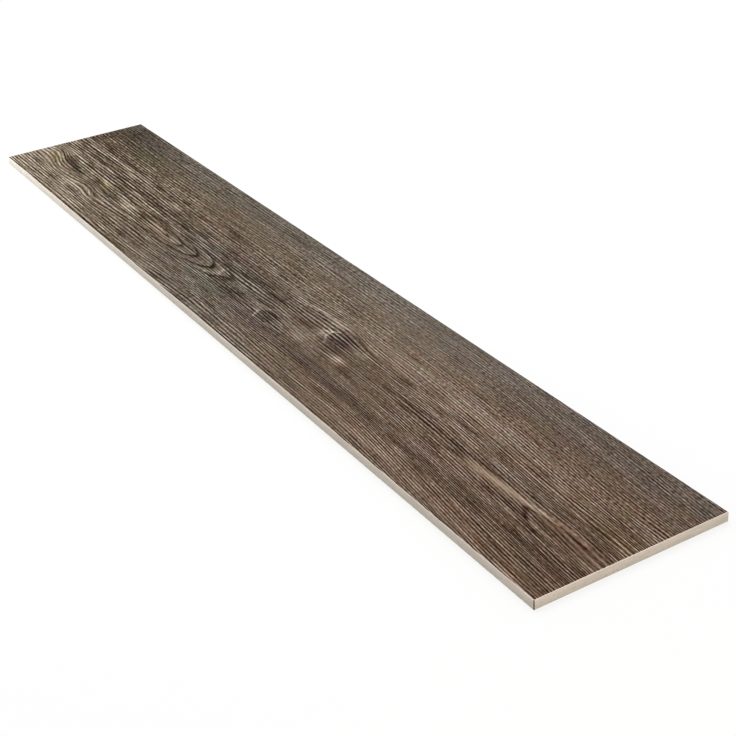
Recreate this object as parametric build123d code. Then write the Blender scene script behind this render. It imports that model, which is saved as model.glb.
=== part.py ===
from build123d import *

import os

# A wood-look porcelain plank tile: one piece, dry-pressed, glazed and fired, with its four edges
# ground square and to size after firing.
# X runs along the plank, Y across it, and Z up from the bedding side to the glazed face. The origin
# is the middle of the plane that the ribs of the back stand on. Sizes are in millimetres.

# Work size after grinding.
length = 1200.0
width = 200.0
thickness = 10.0  # from the plane of the ribs to the glazed face

# Edges: the bevel ground round the glazed face, and the softer one round the back.
face_bevel = 0.6
back_bevel = 0.4

# Relief of the back, which keys the adhesive: straight grooves across the plank that run out at
# both long sides, with flat ribs between them and a plain band at each short end.
groove_pitch = 10.0
groove_depth = 0.6
groove_mouth = 4.0  # width of a groove at the plane of the ribs
groove_wall_angle = 45.0  # slope of its walls, in degrees above the plane of the ribs
end_band = 12.0  # least length of the plain bands


def bevelled_outline(across):
    """A rectangle as thick as the tile that stands on the X axis, bevelled at its four corners."""
    with BuildSketch() as outline:
        Rectangle(across, thickness, align=(Align.CENTER, Align.MIN))
        corners = outline.vertices().group_by(Axis.Y)
        chamfer(corners[-1], face_bevel)
        chamfer(corners[0], back_bevel)
    return outline.sketch


def groove_places():
    """Distances along X of the grooves, in pairs about the middle, where a rib always stands."""
    room = length / 2 - end_band - groove_mouth / 2
    pairs = int(room / groove_pitch + 0.5)
    steps = [(number + 0.5) * groove_pitch for number in range(pairs)]
    return [-step for step in reversed(steps)] + steps


def plank_tile():
    """The tile: its long section with the grooves, carried across the width, within its cross section."""
    with BuildPart() as tile:
        with BuildSketch(Plane.XZ):
            add(bevelled_outline(length))
            with Locations(*[(place, 0) for place in groove_places()]):
                Trapezoid(
                    groove_mouth,
                    groove_depth,
                    groove_wall_angle,
                    align=(Align.CENTER, Align.MIN),
                    mode=Mode.SUBTRACT,
                )
        extrude(amount=width / 2, both=True)
        with BuildSketch(Plane.YZ):
            add(bevelled_outline(width))
        extrude(amount=length / 2, both=True, mode=Mode.INTERSECT)
    return tile.part


os.makedirs("parts", exist_ok=True)
export_step(plank_tile(), "parts/plank_tile.step")
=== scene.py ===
import math

import bpy
import numpy as np
from mathutils import Matrix, Vector


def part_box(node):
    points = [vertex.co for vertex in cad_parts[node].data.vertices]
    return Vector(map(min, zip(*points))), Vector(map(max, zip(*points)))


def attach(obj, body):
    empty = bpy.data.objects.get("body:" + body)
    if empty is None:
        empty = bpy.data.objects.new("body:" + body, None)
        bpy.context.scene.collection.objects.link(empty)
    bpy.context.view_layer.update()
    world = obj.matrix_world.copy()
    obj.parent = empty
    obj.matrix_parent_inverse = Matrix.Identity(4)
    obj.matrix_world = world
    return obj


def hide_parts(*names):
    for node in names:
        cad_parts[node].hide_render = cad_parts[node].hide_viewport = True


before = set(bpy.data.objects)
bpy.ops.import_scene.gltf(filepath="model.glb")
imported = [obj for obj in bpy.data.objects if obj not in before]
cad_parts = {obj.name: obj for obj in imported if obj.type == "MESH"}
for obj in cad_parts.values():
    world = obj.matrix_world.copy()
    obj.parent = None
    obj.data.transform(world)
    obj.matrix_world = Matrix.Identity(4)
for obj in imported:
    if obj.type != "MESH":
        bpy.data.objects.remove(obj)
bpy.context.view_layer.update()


# Camera: it stands off the plank's near right-hand end and looks down along it through a short
# telephoto lens, rolled by a few degrees, as in the photograph. Its place is in metres.
camera_place = Vector((1.327, -0.6442, 0.7285))
camera_heading = math.radians(150.46)  # from +X, anticlockwise
camera_dip = math.radians(29.27)
camera_roll = math.radians(3.83)

camera = bpy.data.objects.new("camera", bpy.data.cameras.new("camera"))
bpy.context.collection.objects.link(camera)
camera.data.lens = 72.52
camera.data.sensor_width = 36.0
camera.matrix_world = (
    Matrix.Translation(camera_place)
    @ Matrix.Rotation(camera_heading - math.pi / 2, 4, "Z")
    @ Matrix.Rotation(math.pi / 2 - camera_dip, 4, "X")
    @ Matrix.Rotation(-camera_roll, 4, "Z")
)
bpy.context.scene.camera = camera


# The plank: one piece of porcelain, pressed from powder in a mould whose upper punch leaves the
# embossed grain and whose lower one leaves the ribs, glazed, printed and fired, then ground to size
# on its four edges. Its sizes are in millimetres, until its mesh is made.
mm = 0.001
half_length, half_width, thickness = Vector(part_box("plank_tile")[1]) / mm

# The face's mesh: rows follow the grain round its knots, so that a groove stays near its row, and the
# columns stand closer together at the knots, the eyes and the last arch, where the grain turns most.
face_bevel = 0.6
columns = 284
rows = 312
crowded_x = (-510, -400, -82, 45, 130, 515)
crowded_reach = 22
crowding = 2.2  # columns added there, as a share of those elsewhere


def ease(value, start, end):
    """0 before start, 1 after end, and smooth between them."""
    part = np.clip((value - start) / (end - start), 0, 1)
    return part * part * (3 - 2 * part)


def bell(value, centre, before, after=None):
    """1 at the centre, falling to nothing over about twice the reach on each side."""
    reach = np.where(value < centre, before, before if after is None else after)
    return np.exp(-(((value - centre) / reach) ** 2))


even = np.linspace(-1, 1, 4001) * (half_length - face_bevel)
passed = np.cumsum(1 + sum(crowding * bell(even, x, crowded_reach) for x in crowded_x))
passed = (passed - passed[0]) / (passed[-1] - passed[0])
x_lines = np.interp(np.linspace(0, 1, columns + 1), passed, even)
y_lines = np.linspace(-1, 1, rows + 1) * (half_width - face_bevel)
along, row = np.meshgrid(x_lines, y_lines)

# Where the grain is pushed aside: (x, y, reach towards -x, reach towards +x, reach across, push).
bends = [
    (-573, -38, 32, 26, 12, 8),  # hump at the far end
    (-516, -52, 30, 60, 14, -6),  # under the far eye
    (-520, -22, 60, 60, 10, 2),  # over the far eye
    (-425, -52, 26, 18, 9, 3),  # smaller hump, under the second eye
    (-392, -64, 26, 50, 10, -4),  # the hollow behind it
    (-290, -54, 50, 70, 10, 3),  # under the pale fan
    (36, -24, 24, 34, 9, 2),  # over the first knot
    (55, -58, 30, 50, 10, -2),  # under it
    (126, 12, 80, 34, 12, 7),  # over the second knot
    (150, -34, 40, 50, 10, -2),  # under it
    (560, -20, 60, 60, 10, 3),  # over the near eye
    (590, -58, 90, 60, 12, -3),  # under it
]
push = sum(
    amount * bell(along, x, before, after) * bell(row, y, across)
    for x, y, before, after, across, amount in bends
)
straight_edge = 20  # over this width the grain straightens out towards each long side
y_face = row + push * ease(half_width - face_bevel - np.abs(row), 0, straight_edge)

# The fibres run slightly askew of the plank, and turn towards the near long side at the near end.
askew = 10 * ease(along, -300, 0) * ease(-row, 40, 75)
askew -= 30 * ease(along, 230, 700) * (1 - 0.15 * ease(row, -52, -14))
fibre = row - askew

# Depth of the growth rings' axis under the face: where it is small, the rings close into ovals and
# arches about a line that runs the whole length of the plank.
axis_y = -36
axis_depth_points = [
    (-700, 20), (-600, 17), (-520, 10), (-400, 6), (-300, 4), (-235, 0), (-172, 9.7), (-98, 21),
    (0, 34), (200, 38), (380, 32), (496, 23), (575, 9), (640, 2), (700, 0),
]
smoothing = 41  # millimetres over which the depth is averaged
every_mm = np.linspace(-700, 700, 1401)
depth_line = np.pad(np.interp(every_mm, *zip(*axis_depth_points)), smoothing // 2, mode="edge")
depth_line = np.convolve(depth_line, np.ones(smoothing) / smoothing, mode="valid")
axis_depth = np.interp(along, every_mm, depth_line)
ring = np.sqrt((fibre - axis_y - 5 * ease(along, -230, -60)) ** 2 + axis_depth**2)

# Light and dark stretches of the print: (x, y, reach along, reach across, amount).
patches = [
    # far end
    (-600, -85, 120, 22, 1.0),
    (-600, -82, 30, 8, 0.7),
    (-600, -47, 60, 12, 1.2),
    (-570, 26, 30, 5, 0.5),
    (-560, 65, 105, 45, -1.0),
    (-560, -67, 50, 4, -0.6),
    (-555, 14, 25, 6, -0.8),
    (-540, -21, 60, 4, 0.7),
    (-540, -25, 60, 4, 0.5),
    (-530, 6, 70, 4, -0.4),
    # second eye, and the pale fan behind it
    (-470, 16, 110, 3.5, 0.6),
    (-440, 23, 170, 4, -0.5),
    (-440, 15, 30, 4, 0.6),
    (-440, -63, 120, 8, 1.3),
    (-436, -37, 8, 4, -0.9),
    (-430, 38, 30, 5, -0.4),
    (-430, -88, 60, 10, 0.9),
    (-424, -29, 16, 4, 1.2),
    (-420, 31, 50, 4, -0.5),
    (-420, 10, 25, 4, -0.5),
    (-415, -34, 14, 5, 0.7),
    (-415, -47, 22, 6, 0.6),
    (-385, -22, 40, 4, -0.6),
    (-378, -38, 20, 6, -0.9),
    (-356, -45, 14, 6, -0.8),
    (-350, 28, 30, 6, -0.4),
    (-350, -3, 200, 8, -0.4),
    (-330, -37, 26, 7, 1.4),
    (-325, 20, 25, 4, -0.4),
    (-320, -43, 20, 5, 0.8),
    (-310, 34, 40, 6, 0.4),
    (-310, -4, 50, 6, -0.5),
    (-300, 14, 30, 5, -0.5),
    (-290, -30, 30, 4, -0.6),
    (-285, -37, 14, 5, -0.5),
    # arches, about their pale heart
    (-270, -36, 12, 5, -0.4),
    (-250, 12, 170, 3.5, 0.6),
    (-228, -38, 28, 7, 1.1),
    (-190, -88, 60, 8, 0.5),
    (-188, -35, 9, 4, -0.8),
    (-150, 29, 60, 6, -0.4),
    (-150, -24, 40, 5, 0.5),
    (-142, -36, 7, 4, -0.6),
    (-140, 2, 170, 9, -0.45),
    (-100, -42, 20, 7, 0.4),
    (-95, -58, 30, 5, -0.5),
    (-55, -36, 26, 20, -0.5),
    # first knot
    (-30, -45, 40, 8, -0.8),
    (20, -7, 110, 8, -0.5),
    (20, -24, 24, 5, -0.4),
    (54, -41, 17, 10, -1.6),
    (58, -53, 14, 4, 0.6),
    (62, -58, 34, 6, -0.5),
    (70, 12, 70, 5, 0.5),
    (84, -17, 12, 4, -0.7),
    (90, -84, 150, 7, 0.35),
    # second knot, and the light wedge behind it
    (100, 11, 24, 4, 0.7),
    (105, -32, 30, 8, 0.6),
    (110, -30, 24, 8, 0.5),
    (118, -12, 9, 9, 1.4),
    (120, 70, 300, 50, 0.4),
    (144, -5, 16, 11, -1.2),
    (155, -23, 18, 4, -0.6),
    (179, -29, 13, 5, 2.0),
    (190, 40, 60, 6, 0.4),
    (205, -36, 10, 6, -0.5),
    (220, 26, 130, 9, 0.75),
    (240, 13, 140, 5, 0.6),
    (240, -60, 150, 9, -0.6),
    # light streak
    (320, -84, 100, 7, 0.7),
    (330, -22, 60, 8, -1.0),
    (390, -30, 10, 3, -0.6),
    (400, 24, 110, 11, 0.3),
    (445, -27.5, 44, 4.2, 1.75),
    (480, -38, 30, 5, -0.4),
    (500, -25, 28, 3, 2.0),
    # near eye
    (510, -62, 120, 10, -0.8),
    (527, -46, 9, 3.5, -1.2),
    (530, -35, 24, 6, -0.7),
    (535, -45, 24, 4, -0.4),
    (545, -22, 22, 2.5, 0.9),
    (560, -8, 60, 8, -0.3),
    (570, -15, 26, 7, -0.6),
    (580, -48, 40, 5, -0.4),
    (590, 60, 80, 34, -0.2),
    (590, -75, 60, 14, -0.4),
]


def soft_spots(spots):
    """The sum of soft ovals on the face, each (x, y, reach along, reach across, amount)."""
    return sum(
        amount * bell(along, x, reach) * bell(y_face, y, across)
        for x, y, reach, across, amount in spots
    )


tone = soft_spots(patches)

# Single marks of the print, as a brush would draw them: (x, y) of both ends, width, amount.
marks = [
    # lines of the far end
    ((-595, 9.5), (-515, 11), 0.9, 0.9),
    ((-515, 11), (-440, 7.5), 0.9, 0.9),
    ((-440, 7.5), (-300, 6), 0.9, 0.8),
    ((-580, 7.5), (-515, 8.5), 0.9, -1.2),
    ((-515, 8.5), (-400, 4), 0.9, -1.4),
    ((-440, 22), (-380, 19), 1.0, -1.0),
    ((-600, 24.5), (-540, 26), 1.0, -1.2),
    ((-540, 26), (-440, 22.5), 1.0, -1.2),
    ((-470, 28), (-400, 27.5), 0.8, 0.7),
    ((-420, -2), (-380, -2.5), 1.0, -1.2),
    ((-430, 0), (-380, -0.5), 0.8, 1.0),
    ((-480, -6), (-430, -8.5), 0.8, 1.1),
    ((-440, -8), (-380, -13), 0.8, -0.8),
    ((-595, -18.5), (-530, -20), 1.2, 1.0),
    ((-595, -22.5), (-530, -22), 1.0, -0.4),
    ((-520, -26), (-470, -25), 0.9, 1.0),
    # hump: its light back, then the lines under it
    ((-598, -40), (-565, -36.5), 1.6, 1.0),
    ((-565, -36.5), (-550, -41), 1.6, 1.1),
    ((-550, -41), (-524, -54), 1.5, 1.1),
    ((-600, -43.5), (-570, -41.5), 0.9, -0.9),
    ((-570, -41.5), (-536, -56), 0.9, -1.0),
    ((-590, -47), (-560, -46), 1.2, 0.9),
    ((-560, -46), (-532, -60), 1.2, 0.9),
    # far eye
    ((-547, -32.5), (-497, -39.5), 4.2, -1.1),
    ((-500, -42), (-462, -46), 2.0, -0.7),
    # second eye, and the lines under it
    ((-433, -28), (-402, -34), 2.5, 0.3),
    ((-440, -33), (-420, -38), 1.5, -0.9),
    ((-426, -51), (-398, -61), 1.0, 0.9),
    ((-420, -55), (-398, -64), 0.9, -0.8),
    ((-385, -61), (-330, -53), 0.9, 0.9),
    ((-330, -53), (-280, -48), 0.9, 0.8),
    ((-378, -64), (-320, -56.5), 0.9, -0.9),
    # pale fan
    ((-365, -42), (-300, -40), 1.0, 0.8),
    ((-350, -28.5), (-260, -24), 1.1, -0.7),
    ((-320, -21), (-285, -21), 1.0, 1.2),
    ((-320, -23), (-225, -23.5), 1.0, -1.0),
    ((-325, -47), (-275, -43), 1.0, -1.0),
    # arches, the third one last
    ((-320, -56), (-225, -47), 1.2, -1.5),
    ((-225, -52), (-150, -42), 1.3, -1.3),
    ((-215, -47.5), (-190, -47), 0.8, 1.3),
    ((-200, -37.5), (-188, -37.5), 0.9, 1.3),
    ((-110, -25), (-102, -29), 1.2, -1.3),
    ((-102, -29), (-96, -32.5), 1.5, -1.9),
    ((-96, -32.5), (-108, -41), 1.4, -1.7),
    ((-108, -41), (-160, -55), 1.2, -1.2),
    # fourth arch: light, then dark
    ((-110, -21), (-84, -25), 2.2, 0.6),
    ((-84, -25), (-78, -33), 2.2, 0.8),
    ((-78, -33), (-96, -43), 2.2, 0.8),
    ((-96, -43), (-160, -52), 2.0, 0.5),
    ((-58, -31), (-68, -34), 1.6, -2.0),
    ((-68, -34), (-82, -44), 1.5, -1.9),
    ((-82, -44), (-110, -50), 1.1, -0.8),
    # lines over the arches and the knots
    ((-150, -17.5), (-85, -19.5), 1.0, -1.0),
    ((-195, 6.5), (-80, 5), 1.0, -0.9),
    ((-80, -11), (40, -9), 1.1, -1.3),
    ((25, 4), (80, 8), 0.9, 0.9),
    ((35, 10), (110, 15), 0.9, 0.6),
    ((55, 7), (110, 12), 0.9, -0.8),
    ((60, 13), (128, 19), 0.8, 0.5),
    ((40, 15.5), (100, 17.5), 0.8, -0.8),
    ((142, 15), (172, 9), 0.9, -0.7),
    ((0, -11), (60, -11), 1.0, -1.3),
    ((0, -13), (75, -13.5), 0.9, 0.8),
    # first knot: lines across it, its curl, then its pale rim
    ((44, -36.5), (80, -37), 0.8, 1.5),
    ((42, -43), (72, -42.5), 0.8, 1.5),
    ((0, -58), (40, -60), 1.0, -1.2),
    ((66, -31), (84, -31), 0.9, 1.2),
    ((48, -32), (95, -37.5), 1.0, -1.2),
    ((60, -49), (92, -46), 1.0, 1.5),
    ((24, -41), (31, -41), 1.3, 1.9),
    ((31, -39), (38, -51), 1.3, 2.3),
    ((22, -44), (32, -48), 0.9, -1.0),
    ((36, -31), (44, -24), 1.3, 1.1),
    ((44, -24), (64, -22), 1.3, 1.0),
    ((64, -22), (82, -28), 1.2, 0.8),
    ((38, -34), (60, -32.5), 1.2, -1.3),
    # second knot: its curl, then the lines across it
    ((131, 5), (124, -2), 1.3, 1.8),
    ((124, -2), (113, -8), 1.5, 1.2),
    ((124, -2), (126, -11), 1.6, 1.7),
    ((126, -11), (138, -20), 1.2, 1.4),
    ((104, -0.5), (122, -1), 0.9, 1.3),
    ((132, -1), (160, -1), 0.8, 1.3),
    ((134, -6), (152, -6), 0.8, 1.2),
    ((143, -11.5), (155, -12), 0.8, 1.2),
    ((150, -14), (165, -17), 0.9, -0.9),
    # dark rim of the light streak
    ((370, -21), (465, -21.5), 1.0, -1.5),
    ((465, -21.5), (505, -23), 0.8, -0.8),
    # near eye: its upper arm, its lower arm, and the light line within
    ((496, -31), (507, -28.5), 1.0, -1.6),
    ((507, -28.5), (540, -25), 0.8, -0.9),
    ((540, -26), (575, -26), 1.0, -1.0),
    ((496, -31), (507, -39), 1.7, -1.6),
    ((507, -39), (524, -45), 1.1, -1.4),
    ((514, -40), (525, -41), 1.2, 2.0),
    ((525, -41), (546, -41), 0.8, 1.5),
    ((560, -21), (574, -24), 0.9, 1.4),
    ((440, -38), (520, -45), 0.9, -0.8),
    ((480, -48), (540, -56), 0.9, 0.7),
]
mark_strength = 1.15


def stroke(start, end, width):
    """1 on the line from start to end, falling off over its width."""
    run = np.array(end, float) - start
    part = np.clip(((along - start[0]) * run[0] + (y_face - start[1]) * run[1]) / (run @ run), 0, 1)
    gap = np.hypot(along - start[0] - part * run[0], y_face - start[1] - part * run[1])
    return np.exp(-((gap / width) ** 2))


tone += mark_strength * sum(amount * stroke(start, end, width) for start, end, width, amount in marks)

# Where the fine lines are faint: (x, y, reach along, reach across, amount).
faint_places = [
    (-550, -48, 50, 14, 0.35),  # hump
    (-515, -36, 40, 7, 0.3),  # far eye
    (-425, -52, 50, 16, 0.3),  # second eye
    (-160, -35, 90, 16, 0.3),  # arches
    (95, -24, 70, 20, 0.35),  # knots
    (455, -27, 55, 5, 0.75),  # light streak
    (545, -33, 45, 10, 0.35),  # near eye
    (588, -30, 34, 12, 0.35),
]
contrast = 1 - soft_spots(faint_places)
contrast += 0.2 * bell(y_face, -10, 35) * ease(-along, -100, 300)
contrast -= 0.2 * bell(y_face, -90, 16) * ease(along, 0, 200)
contrast -= 0.2 * ease(y_face, 30, 60)

# Colour of the print beside a grey as light as it is, in shares of full red, green and blue. It is
# warmer near the near end, and colder between the arches and the knots and along the far side.
warmth = (
    0.97
    + 0.08 * ease(along, 150, 550)
    - 0.25 * bell(along, -60, 170) * ease(-y_face, -60, 20)
    - 0.38 * ease(y_face, 35, 95)
    + 0.10 * bell(fibre, -79, 9) * ease(along, -100, 50)
)
lean = ease(along, -250, 500)
hue = [
    warmth * (0.048 + 0.010 * lean),
    warmth * (-0.008 - 0.002 * lean),
    warmth * (-0.074 + 0.010 * lean),
]

# Stains: (x, y, reach along, reach across, red, green, blue).
stains = [
    # far end and second eye
    (-555, -45, 28, 9, 0.0, 0.01, -0.07),
    (-520, -36, 18, 5, 0.01, -0.02, 0.05),
    (-490, -38, 22, 8, -0.02, 0.01, -0.01),
    (-470, 50, 60, 14, -0.02, 0.01, -0.03),
    (-420, -28, 22, 5, 0.02, 0.02, -0.06),
    (-380, -50, 20, 8, -0.03, 0.0, 0.01),
    # arches
    (-245, -37, 40, 8, 0.03, 0.0, -0.02),
    (-210, 20, 50, 6, 0.03, -0.01, 0.0),
    (-150, -8, 40, 6, -0.02, -0.01, 0.03),
    (-100, 8, 40, 5, 0.03, -0.01, 0.0),
    (-60, -58, 40, 9, -0.03, 0.02, 0.01),
    # knots
    (10, -50, 26, 8, 0.0, -0.01, 0.04),
    (58, -40, 18, 10, -0.02, -0.01, 0.03),
    (60, -60, 30, 8, 0.01, -0.01, 0.03),
    (60, -24, 20, 5, -0.02, 0.01, 0.01),
    (84, -17, 14, 5, 0.04, -0.02, 0.01),
    (146, -7, 18, 11, -0.02, -0.01, 0.06),
    (180, -29, 14, 4, 0.05, -0.02, 0.01),
    (190, -58, 60, 8, -0.01, -0.01, 0.03),
    # light streak and near eye
    (400, -46, 40, 7, 0.02, -0.01, 0.0),
    (435, -29, 6, 4, 0.03, -0.02, 0.02),
    (450, -27, 50, 5, 0.01, 0.0, -0.04),
    (470, -13, 40, 7, -0.03, 0.0, 0.02),
    (540, -26, 26, 3, 0.02, 0.0, -0.02),
    (560, 5, 50, 14, 0.01, 0.01, -0.03),
    (570, -33, 26, 6, 0.01, -0.01, 0.0),
]
stain_strength = 0.5
for x, y, reach, across, *amounts in stains:
    stain = stain_strength * bell(along, x, reach) * bell(y_face, y, across)
    for channel, amount in zip(hue, amounts):
        channel += amount * stain


def streaks(length, pitch, seed):
    """Smooth random streaks along the fibres, between -1 and 1, with their own ends in every lane."""
    dice = np.random.default_rng(seed)
    size = 512
    heights = dice.uniform(-1, 1, (size, size))
    starts = dice.uniform(0, size, size)
    lane = fibre / pitch + size / 2
    first = np.floor(lane).astype(int)

    def one_lane(number):
        place = along / length + starts[number % size]
        cell = np.floor(place).astype(int)
        part = ease(place - cell, 0, 1)
        before = heights[number % size, cell % size]
        after = heights[number % size, (cell + 1) % size]
        return before + (after - before) * part

    part = ease(lane - first, 0, 1)
    return one_lane(first) * (1 - part) + one_lane(first + 1) * part


# The print's lines lie closer together towards the near end, and wander a little. Of those at the
# near end, in the middle and at the far end: the pitch, and how many pitches they wander.
near_lines = (2.7, 0.9)
middle_lines = (3.4, 0.8)
far_lines = (4.2, 0.6)
near_share = ease(along, 60, 330)
far_share = ease(-along, 60, 330)
middle_share = 1 - near_share - far_share
wander = streaks(120, 13, seed=21)

# How strong the lines are, how far their dashes give way to hairs towards the far long side, where
# the long accents lie, and how much the growth rings show, which is most at the arches.
line_strength = 0.8 + 0.45 * streaks(30, 4, seed=23) - 0.25 * ease(y_face, 10, 45)
dash_share = 1 - 0.45 * ease(y_face, 5, 35)
accent = 0.2 + 0.35 * ease(-along, -100, 250) * bell(y_face, -5, 60)
ring_share = (
    0.15
    + bell(along, -150, 110, 80) * bell(y_face, -34, 24)
    + 0.2 * bell(along, -440, 120) * bell(y_face, -40, 26)
)


def wave(pitch, turns):
    """The print's lines at one pitch, between -1 where they are dark and 1."""
    return np.sin(2 * math.pi * (fibre / pitch + turns * wander))


# The embossing follows the lines: narrow grooves in the dark ones, wider lands, and short pores.
groove_depth = 0.2
waves = (
    near_share * wave(*near_lines)
    + middle_share * wave(*middle_lines)
    + far_share * wave(*far_lines)
)
pores = ease(-streaks(16, 1.1, seed=12), 0.1, 0.9)
relief = np.clip(1 - ease(-waves, -0.1, 1.0) * line_strength - 0.6 * pores, 0, 1)
sunk = groove_depth * (1 - relief)

face_x = along.copy()
face_y = y_face.copy()
face_x[:, 0] -= sunk[:, 0]
face_x[:, -1] += sunk[:, -1]
face_y[0, :] -= sunk[0, :]
face_y[-1, :] += sunk[-1, :]
face_points = np.stack([face_x, face_y, thickness - sunk], axis=-1).reshape(-1, 3)

# The back's section along the plank: flat ribs between straight grooves, as many as leave a plain
# band at each end. Each groove's wall has a point level with the bevel.
back_bevel = 0.4
rib_pitch = 10.0
rib_groove = 4.0
rib_depth = 0.6
plain_end = 12.0
half_mouth = rib_groove / 2
half_count = int((half_length - plain_end - half_mouth) / rib_pitch + 0.5)
section = [(-half_length, back_bevel), (-half_length + back_bevel, 0)]
for number in range(-half_count, half_count):
    left = (number + 0.5) * rib_pitch - half_mouth
    right = left + rib_groove
    section += [(left, 0), (left + back_bevel, back_bevel), (left + rib_depth, rib_depth)]
    section += [(right - rib_depth, rib_depth), (right - back_bevel, back_bevel), (right, 0)]
section += [(half_length - back_bevel, 0), (half_length, back_bevel)]

points = [tuple(point) for point in face_points]
faces = []
finish = []
GLAZE, EDGE, BACK = range(3)


def add_face(corners, kind):
    faces.append(corners)
    finish.append(kind)


def add_point(x, y, z):
    points.append((x, y, z))
    return len(points) - 1


wide = columns + 1
for j in range(rows):
    for i in range(columns):
        start = j * wide + i
        add_face((start, start + 1, start + 1 + wide, start + wide), GLAZE)

# Rim of the face, then the top of the four ground edges below the bevel.
rim_z = thickness - face_bevel
near_rim = list(range(wide))
far_rim = [rows * wide + i for i in range(wide)]
left_rim = [j * wide for j in range(rows + 1)]
right_rim = [j * wide + columns for j in range(rows + 1)]
top_x = [-half_length, *x_lines[1:-1], half_length]
near_top = [add_point(x, -half_width, rim_z) for x in top_x]
far_top = [add_point(x, half_width, rim_z) for x in top_x]
left_top = [add_point(-half_length, y, rim_z) for y in y_lines[1:-1]]
left_top = [near_top[0], *left_top, far_top[0]]
right_top = [add_point(half_length, y, rim_z) for y in y_lines[1:-1]]
right_top = [near_top[-1], *right_top, far_top[-1]]


def bridge(upper, lower, kind, flip):
    """Quads between two chains of as many points each."""
    for a, b, c, d in zip(upper, upper[1:], lower[1:], lower):
        add_face((a, b, c, d) if flip else (d, c, b, a), kind)


bridge(near_rim, near_top, EDGE, False)
bridge(far_rim, far_top, EDGE, True)
bridge(left_rim, left_top, EDGE, True)
bridge(right_rim, right_top, EDGE, False)

# The back, across the plank, and the feet of the long edges, level with the bevel. A groove that is
# deeper than the bevel runs out through the edge, and has its foot there in its own section.
near_back = []
far_back = []
near_foot = []
far_foot = []
for x, z in section:
    inset = max(back_bevel - z, 0)
    near_back.append(add_point(x, -half_width + inset, z))
    far_back.append(add_point(x, half_width - inset, z))
    near_foot.append(add_point(x, -half_width, back_bevel) if inset > 0 else near_back[-1])
    far_foot.append(add_point(x, half_width, back_bevel) if inset > 0 else far_back[-1])
bridge(near_back, far_back, BACK, True)
for back, foot, flip in ((near_back, near_foot, True), (far_back, far_foot, False)):
    for quad in zip(back, back[1:], foot[1:], foot):
        corners = list(dict.fromkeys(quad))  # where the back meets its foot, they share a point
        if len(corners) > 2:
            add_face(corners if flip else corners[::-1], BACK)


def zip_up(upper, lower, flip):
    """Triangles between two chains along x that have different numbers of points."""
    i = j = 0
    while i < len(upper) - 1 or j < len(lower) - 1:
        step_up = j == len(lower) - 1 or (
            i < len(upper) - 1 and points[upper[i + 1]][0] < points[lower[j + 1]][0]
        )
        triangle = (upper[i], lower[j], upper[i + 1] if step_up else lower[j + 1])
        add_face(triangle if flip else triangle[::-1], EDGE)
        if step_up:
            i += 1
        else:
            j += 1


zip_up(near_top, near_foot, True)
zip_up(far_top, far_foot, False)
add_face((near_foot[0], *left_top, far_foot[0]), EDGE)
add_face((near_foot[-1], *right_top, far_foot[-1])[::-1], EDGE)

mesh = bpy.data.meshes.new("plank")
mesh.from_pydata([Vector(point) * mm for point in points], [], faces)
mesh.validate()
mesh.polygons.foreach_set("material_index", finish)
mesh.polygons.foreach_set("use_smooth", [kind == GLAZE for kind in finish])
other_points = len(points) - len(face_points)


def store(name, values):
    """Keeps three numbers for each point of the face, and zeros elsewhere."""
    filled = np.stack([value.ravel() for value in values], axis=-1)
    filled = np.vstack([filled, np.zeros((other_points, 3))])
    mesh.attributes.new(name, "FLOAT_VECTOR", "POINT").data.foreach_set("vector", filled.ravel())


store("grain", (along, fibre, ring))
store("figure", (tone, contrast, ring_share))
store("hue", hue)
store("lines", (wander, line_strength, accent))
store("shares", (far_share, near_share, dash_share))
plank = bpy.data.objects.new("plank", mesh)
bpy.context.collection.objects.link(plank)


def new_material(name):
    """A material, its node tree and its shader. The functions below add their nodes to tree."""
    material = bpy.data.materials.new(name)
    material.use_nodes = True
    nodes = material.node_tree
    return material, nodes, nodes.nodes["Principled BSDF"]


def feed(sockets, values):
    """Links each socket to its value, or sets it where that is a number, a colour or a vector."""
    for socket, value in zip(sockets, values):
        if isinstance(value, bpy.types.NodeSocket):
            tree.links.new(value, socket)
        else:
            socket.default_value = value


def math_node(operation, *values, clamp=False):
    made = tree.nodes.new("ShaderNodeMath")
    made.operation = operation
    made.use_clamp = clamp
    feed(made.inputs, values)
    return made.outputs[0]


def times(first, second):
    return math_node("MULTIPLY", first, second)


def add_up(*values):
    total = values[0]
    for value in values[1:]:
        total = math_node("ADD", total, value)
    return total


def centred(value, amount):
    """A value about 0.5, moved to lie about 0 and times the amount."""
    return times(math_node("SUBTRACT", value, 0.5), amount)


def scaled(vector, amount):
    """A vector or colour times one number."""
    made = tree.nodes.new("ShaderNodeVectorMath")
    made.operation = "SCALE"
    feed((made.inputs[0], made.inputs["Scale"]), (vector, amount))
    return made.outputs[0]


def noise(vector, scales, detail=2.0, roughness=0.5):
    """A Noise texture's value, about 0.5, on a vector scaled by three numbers."""
    stretched = tree.nodes.new("ShaderNodeVectorMath")
    stretched.operation = "MULTIPLY"
    feed(stretched.inputs, (vector, scales))
    made = tree.nodes.new("ShaderNodeTexNoise")
    made.inputs["Scale"].default_value = 1.0
    made.inputs["Detail"].default_value = detail
    made.inputs["Roughness"].default_value = roughness
    tree.links.new(stretched.outputs[0], made.inputs["Vector"])
    return made.outputs["Fac"]


def attribute(name):
    made = tree.nodes.new("ShaderNodeAttribute")
    made.attribute_name = name
    return made.outputs["Vector"]


def split(vector):
    made = tree.nodes.new("ShaderNodeSeparateXYZ")
    tree.links.new(vector, made.inputs[0])
    return made.outputs


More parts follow.
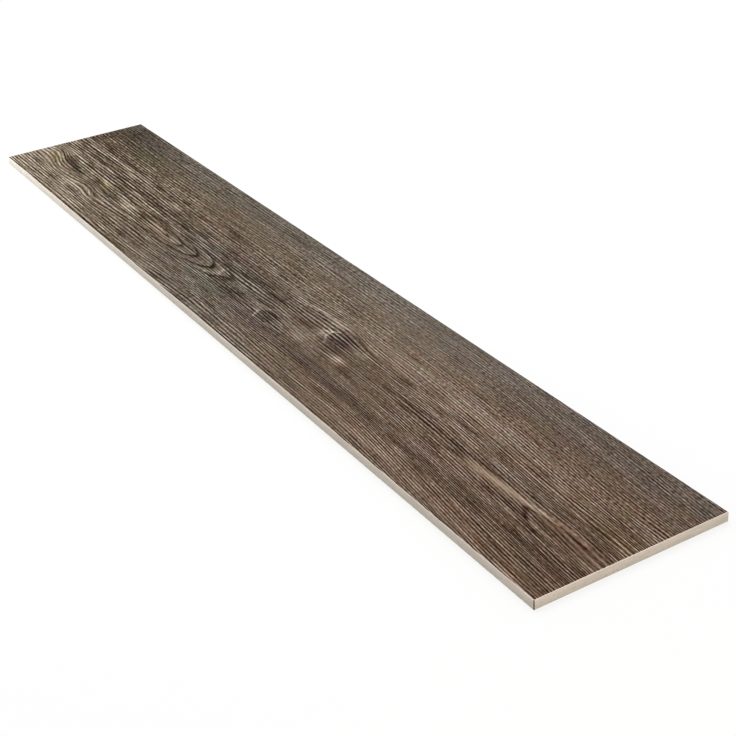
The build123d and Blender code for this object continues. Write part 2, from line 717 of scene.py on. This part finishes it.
# The printed glaze: a matt skin, fused in the kiln, with the wood printed in it. How light the print
# is adds up from fine lines, long accents, broad bands, growth rings and the tones of the figure. The
# light dashes in the fine lines are partly painted highlights on the embossed ridges.
glaze, tree, shader = new_material("printed_glaze")
grain = attribute("grain")
tone_value, contrast_value, ring_strength = split(attribute("figure"))
wander_value, strength_value, accent_value = split(attribute("lines"))
far_value, near_value, dash_value = split(attribute("shares"))
fibre_value, ring_value = split(grain)[1:]
line_amount = 0.22
dash_amount = 0.48
dash_length = 34
dashes_a_line = 1.9  # across, in one pitch
hair_amount = 0.42
hair_length = 1.8  # in pitches
hairs_a_line = 2.4
hair_gain = 0.8  # of the hairs where there are no dashes


def line_set(pitch, turns):
    """Lines along the grain at one pitch, broken into dashes, with hairs between them."""
    angle = times(fibre_value, 2 * math.pi / pitch)
    angle = add_up(angle, times(wander_value, 2 * math.pi * turns))
    lines = times(times(math_node("SINE", angle), strength_value), line_amount)
    # The dashes are print, and their light parts are partly painted highlights on the embossed
    # ridges.
    dashes = noise(grain, (1 / dash_length, dashes_a_line / pitch, 0), 0.0)
    dashes = times(centred(dashes, dash_amount), dash_value)
    hairs = noise(grain, (1 / hair_length / pitch, hairs_a_line / pitch, 0), 0.0)
    more_hairs = math_node("MULTIPLY_ADD", dash_value, -hair_gain, 1 + hair_gain)
    return add_up(lines, dashes, times(centred(hairs, hair_amount), more_hairs))


middle_value = math_node("SUBTRACT", 1, add_up(far_value, near_value))
fine = add_up(
    times(line_set(*far_lines), far_value),
    times(line_set(*middle_lines), middle_value),
    times(line_set(*near_lines), near_value),
)
long_lines = noise(grain, (1 / 65, 1 / 2.4, 0), 0.0)
light_lines = math_node("MAXIMUM", math_node("SUBTRACT", long_lines, 0.57), 0)
dark_lines = math_node("MAXIMUM", math_node("SUBTRACT", 0.43, long_lines), 0)
accents = math_node("SUBTRACT", times(light_lines, 1.2), times(dark_lines, 1.6))
broad = centred(noise(grain, (1 / 260, 1 / 10.0, 0), 1.0), 0.18)
printed_lines = times(add_up(fine, times(accents, accent_value), broad), contrast_value)

# Across one growth ring: a dark line, sharp on its inner side, and paler wood up to the next.
ring_pitch = 5.8
first_ring = 8.4
ring_amount = 0.44
ring_ends = 0.6
ring_stops = [(0.08, 0), (0.15, 0), (0.27, 0.42), (0.85, ring_ends)]
ring_part = math_node("DIVIDE", math_node("SUBTRACT", ring_value, first_ring), ring_pitch)
ring_line = tree.nodes.new("ShaderNodeValToRGB")
tree.links.new(math_node("FRACT", ring_part), ring_line.inputs[0])
stops = ring_line.color_ramp.elements
for stop in stops:
    stop.color = (ring_ends, ring_ends, ring_ends, 1)
for position, grey in ring_stops:
    stops.new(position).color = (grey, grey, grey, 1)
rings = times(centred(ring_line.outputs["Color"], ring_amount), ring_strength)

mean_lightness = 0.329
least_lightness = 0.04
tone_step = 0.11
lightness = add_up(mean_lightness, times(tone_value, tone_step), printed_lines, rings)
lightness = math_node("MAXIMUM", lightness, least_lightness)


def color_sum(first, second):
    """The sum of two colours."""
    made = tree.nodes.new("ShaderNodeVectorMath")
    made.operation = "ADD"
    feed(made.inputs, (first, second))
    return made.outputs[0]


red_stain = centred(noise(grain, (1 / 26, 1 / 11, 0), 1.0), 0.4)
gold_stain = centred(noise(grain, (1 / 35, 1 / 14, 0), 1.0), 0.4)
ink = color_sum(scaled((1, 1, 1), lightness), attribute("hue"))
ink = color_sum(ink, scaled((0.12, -0.03, 0.02), red_stain))
ink = color_sum(ink, scaled((0.02, 0.01, -0.12), gold_stain))
gamma = tree.nodes.new("ShaderNodeGamma")
gamma.inputs["Gamma"].default_value = 2.2
tree.links.new(ink, gamma.inputs["Color"])
tree.links.new(gamma.outputs[0], shader.inputs["Base Color"])
roughness = math_node("MULTIPLY_ADD", printed_lines, -0.25, 0.68)  # more in the dark lines
tree.links.new(roughness, shader.inputs["Roughness"])
shader.inputs["Specular IOR Level"].default_value = 0.08

# The fired body: pale grains of clay and feldspar, with a dark speck here and there. The ground
# edges and the pressed back share it.
grains = bpy.data.node_groups.new("fired_grains", "ShaderNodeTree")
for name, kind in (("Position", "Vector"), ("Size", "Float"), ("Amount", "Float")):
    grains.interface.new_socket(name, in_out="INPUT", socket_type="NodeSocket" + kind)
grains.interface.new_socket("Shade", in_out="OUTPUT", socket_type="NodeSocketFloat")
tree = grains
grains_in = tree.nodes.new("NodeGroupInput")
grains_out = tree.nodes.new("NodeGroupOutput")
sized = scaled(grains_in.outputs["Position"], math_node("DIVIDE", 1, grains_in.outputs["Size"]))
sandy = centred(noise(sized, (1, 1, 1), 2.0, 0.6), 1.0)
cloudy = centred(noise(sized, (0.06, 0.06, 0.3)), 0.8)
specks = math_node("LESS_THAN", noise(sized, (0.7, 0.7, 0.7), 0.0), 0.24)
uneven = math_node("SUBTRACT", add_up(sandy, cloudy), times(specks, 0.9))
tree.links.new(add_up(times(uneven, grains_in.outputs["Amount"]), 1.0), grains_out.inputs["Shade"])


def fired_grains(size, amount):
    """The position in millimetres, and the shade of the grains there, about 1."""
    place = scaled(tree.nodes.new("ShaderNodeTexCoord").outputs["Object"], 1 / mm)
    made = tree.nodes.new("ShaderNodeGroup")
    made.node_tree = grains
    feed([made.inputs[name] for name in ("Position", "Size", "Amount")], (place, size, amount))
    return place, made.outputs["Shade"]


def clay(red, green, blue):
    """A colour from its 0 to 255 values on screen."""
    parts = [value / 255 for value in (red, green, blue)]
    return tuple(v / 12.92 if v <= 0.04045 else ((v + 0.055) / 1.055) ** 2.4 for v in parts) + (1,)


def mix(share, first, second):
    """The first colour where the share is 0, the second where it is 1."""
    made = tree.nodes.new("ShaderNodeMix")
    made.data_type = "RGBA"
    feed((made.inputs[0], made.inputs[6], made.inputs[7]), (share, first, second))
    return made.outputs[2]


def fired_surface(color, shade, roughness, grain_height):
    """Gives the shader the colour and the grains, which stand up by their height in millimetres."""
    tree.links.new(scaled(color, shade), shader.inputs["Base Color"])
    shader.inputs["Roughness"].default_value = roughness
    shader.inputs["Specular IOR Level"].default_value = 0.1
    bump = tree.nodes.new("ShaderNodeBump")
    bump.inputs["Strength"].default_value = 0.5
    bump.inputs["Distance"].default_value = grain_height * mm
    tree.links.new(shade, bump.inputs["Height"])
    tree.links.new(bump.outputs[0], shader.inputs["Normal"])


# Ground edges: fine scratches of the wheel along them, painted shade that makes their lower part
# darker and greyer, a painted highlight that makes the bevel under the glaze paler, and the dark
# hairline down the near corner.
body, tree, shader = new_material("ground_body")
hairline = 0.8
position, shade = fired_grains(1.3, 0.34)
x, y, z = split(position)
scratches = noise(position, (1 / 30, 1 / 30, 1 / 0.5), 1.0)
# Painted shade: the edges are painted darker and greyer towards the floor, fading out towards the
# top.
lower = math_node("DIVIDE", add_up(z, times(scratches, -4.0)), -7.0)
lower = math_node("ADD", lower, 1.0, clamp=True)
color = mix(lower, clay(192, 180, 170), clay(180, 173, 161))
# Painted highlight: the bevel under the glaze is painted paler, for the light it catches facing up.
color = mix(math_node("GREATER_THAN", z, thickness - face_bevel), color, clay(214, 203, 192))
at_end = math_node("GREATER_THAN", x, half_length - hairline)
at_side = math_node("LESS_THAN", y, hairline - half_width)
color = mix(times(at_end, at_side), color, clay(96, 84, 66))
fired_surface(color, add_up(shade, centred(scratches, 0.24)), 0.85, 0.1)

# The back as it left the mould and the kiln: a thin white wash, which keeps it from sticking to the
# rollers, lies as dust on the ribs, and the bare body shows between them.
back, tree, shader = new_material("pressed_back")
position, shade = fired_grains(1.8, 0.30)
dusty = noise(position, (1 / 90, 1 / 40, 0), 3.0, 0.6)
dusty = math_node("MULTIPLY", math_node("SUBTRACT", dusty, 0.32), 3.2, clamp=True)
on_ribs = math_node("LESS_THAN", split(position)[2], 0.1)
color = mix(times(on_ribs, dusty), clay(186, 174, 158), clay(208, 201, 190))
fired_surface(color, shade, 0.9, 0.2)
for material in (glaze, body, back):  # in the order of GLAZE, EDGE and BACK
    mesh.materials.append(material)

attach(plank, "root")
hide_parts("plank_tile")


# Floor: a matt white sweep that the plank lies on with its ribs. Seen directly it is lifted towards
# white, which leaves part of the plank's shadow. It is clear from below and within a millimetre of
# the ribs, so that the back can be seen and lit.
floor_reach = 8.0
floor_gap = 0.1 * mm
white_share = 0.75
floor_corners = [(-1, -1), (1, -1), (1, 1), (-1, 1)]
floor_corners = [(x * floor_reach, y * floor_reach, -floor_gap) for x, y in floor_corners]
floor_mesh = bpy.data.meshes.new("floor")
floor_mesh.from_pydata(floor_corners, [], [(0, 1, 2, 3)])
floor = bpy.data.objects.new("floor", floor_mesh)
bpy.context.collection.objects.link(floor)
white, tree, shader = new_material("white_floor")
shader.inputs["Base Color"].default_value = (0.93, 0.93, 0.93, 1)
shader.inputs["Roughness"].default_value = 1.0
shader.inputs["Specular IOR Level"].default_value = 0.0


def seen_directly():
    """1 for rays of the camera, also off gloss and through glass, and 0 for light's own."""
    path = tree.nodes.new("ShaderNodeLightPath")
    seen = math_node("MAXIMUM", path.outputs["Is Camera Ray"], path.outputs["Is Glossy Ray"])
    return math_node("MAXIMUM", seen, path.outputs["Is Transmission Ray"])


def mixed_shader(share, first, second):
    made = tree.nodes.new("ShaderNodeMixShader")
    feed(made.inputs, (share, first, second))
    return made.outputs[0]


glow = tree.nodes.new("ShaderNodeEmission").outputs[0]
clear = tree.nodes.new("ShaderNodeBsdfTransparent").outputs[0]
lifted = mixed_shader(times(seen_directly(), white_share), shader.outputs[0], glow)
way = tree.nodes.new("ShaderNodeLightPath").outputs["Ray Length"]
underside = tree.nodes.new("ShaderNodeNewGeometry").outputs["Backfacing"]
open_floor = math_node("MAXIMUM", math_node("LESS_THAN", way, 1 * mm), underside)
one_sided = mixed_shader(open_floor, lifted, clear)
tree.links.new(one_sided, tree.nodes["Material Output"].inputs["Surface"])
floor_mesh.materials.append(white)


# Light: a white room and a soft box overhead, a low lamp at the far end of the near long side,
# which fades along it, and a warm one beyond the near end. Places and sizes are in metres.
room_strength = 0.8
world = bpy.data.worlds.new("studio")
bpy.context.scene.world = world
world.use_nodes = True
tree = world.node_tree
sky = tree.nodes["Background"]
sky.inputs["Color"].default_value = (1, 1, 1, 1)
strength = math_node("MULTIPLY_ADD", seen_directly(), 1 - room_strength, room_strength)
tree.links.new(strength, sky.inputs["Strength"])


def soft_lamp(name, place, aim, width, height, watts, color):
    data = bpy.data.lights.new(name, "AREA")
    data.shape = "RECTANGLE"
    data.size = width
    data.size_y = height
    data.energy = watts
    data.color = color
    lamp = bpy.data.objects.new(name, data)
    bpy.context.collection.objects.link(lamp)
    lamp.location = place
    lamp.rotation_euler = (Vector(aim) - Vector(place)).to_track_quat("-Z", "Y").to_euler()
    lamp.visible_camera = False


soft_lamp("soft_box", (-0.9, 0.1, 2.3), (0, 0, 0), 2.4, 1.6, 23, (1, 1, 1))
soft_lamp("far_lamp", (-0.85, -0.55, 0.1), (-0.45, -0.1, 0), 0.3, 0.12, 3.0, (0.88, 0.97, 1.0))
soft_lamp("end_lamp", (1.45, -0.15, 0.12), (0.6, 0, 0), 0.4, 0.12, 2.2, (1.0, 0.86, 0.66))

bpy.context.scene.view_settings.view_transform = "Standard"
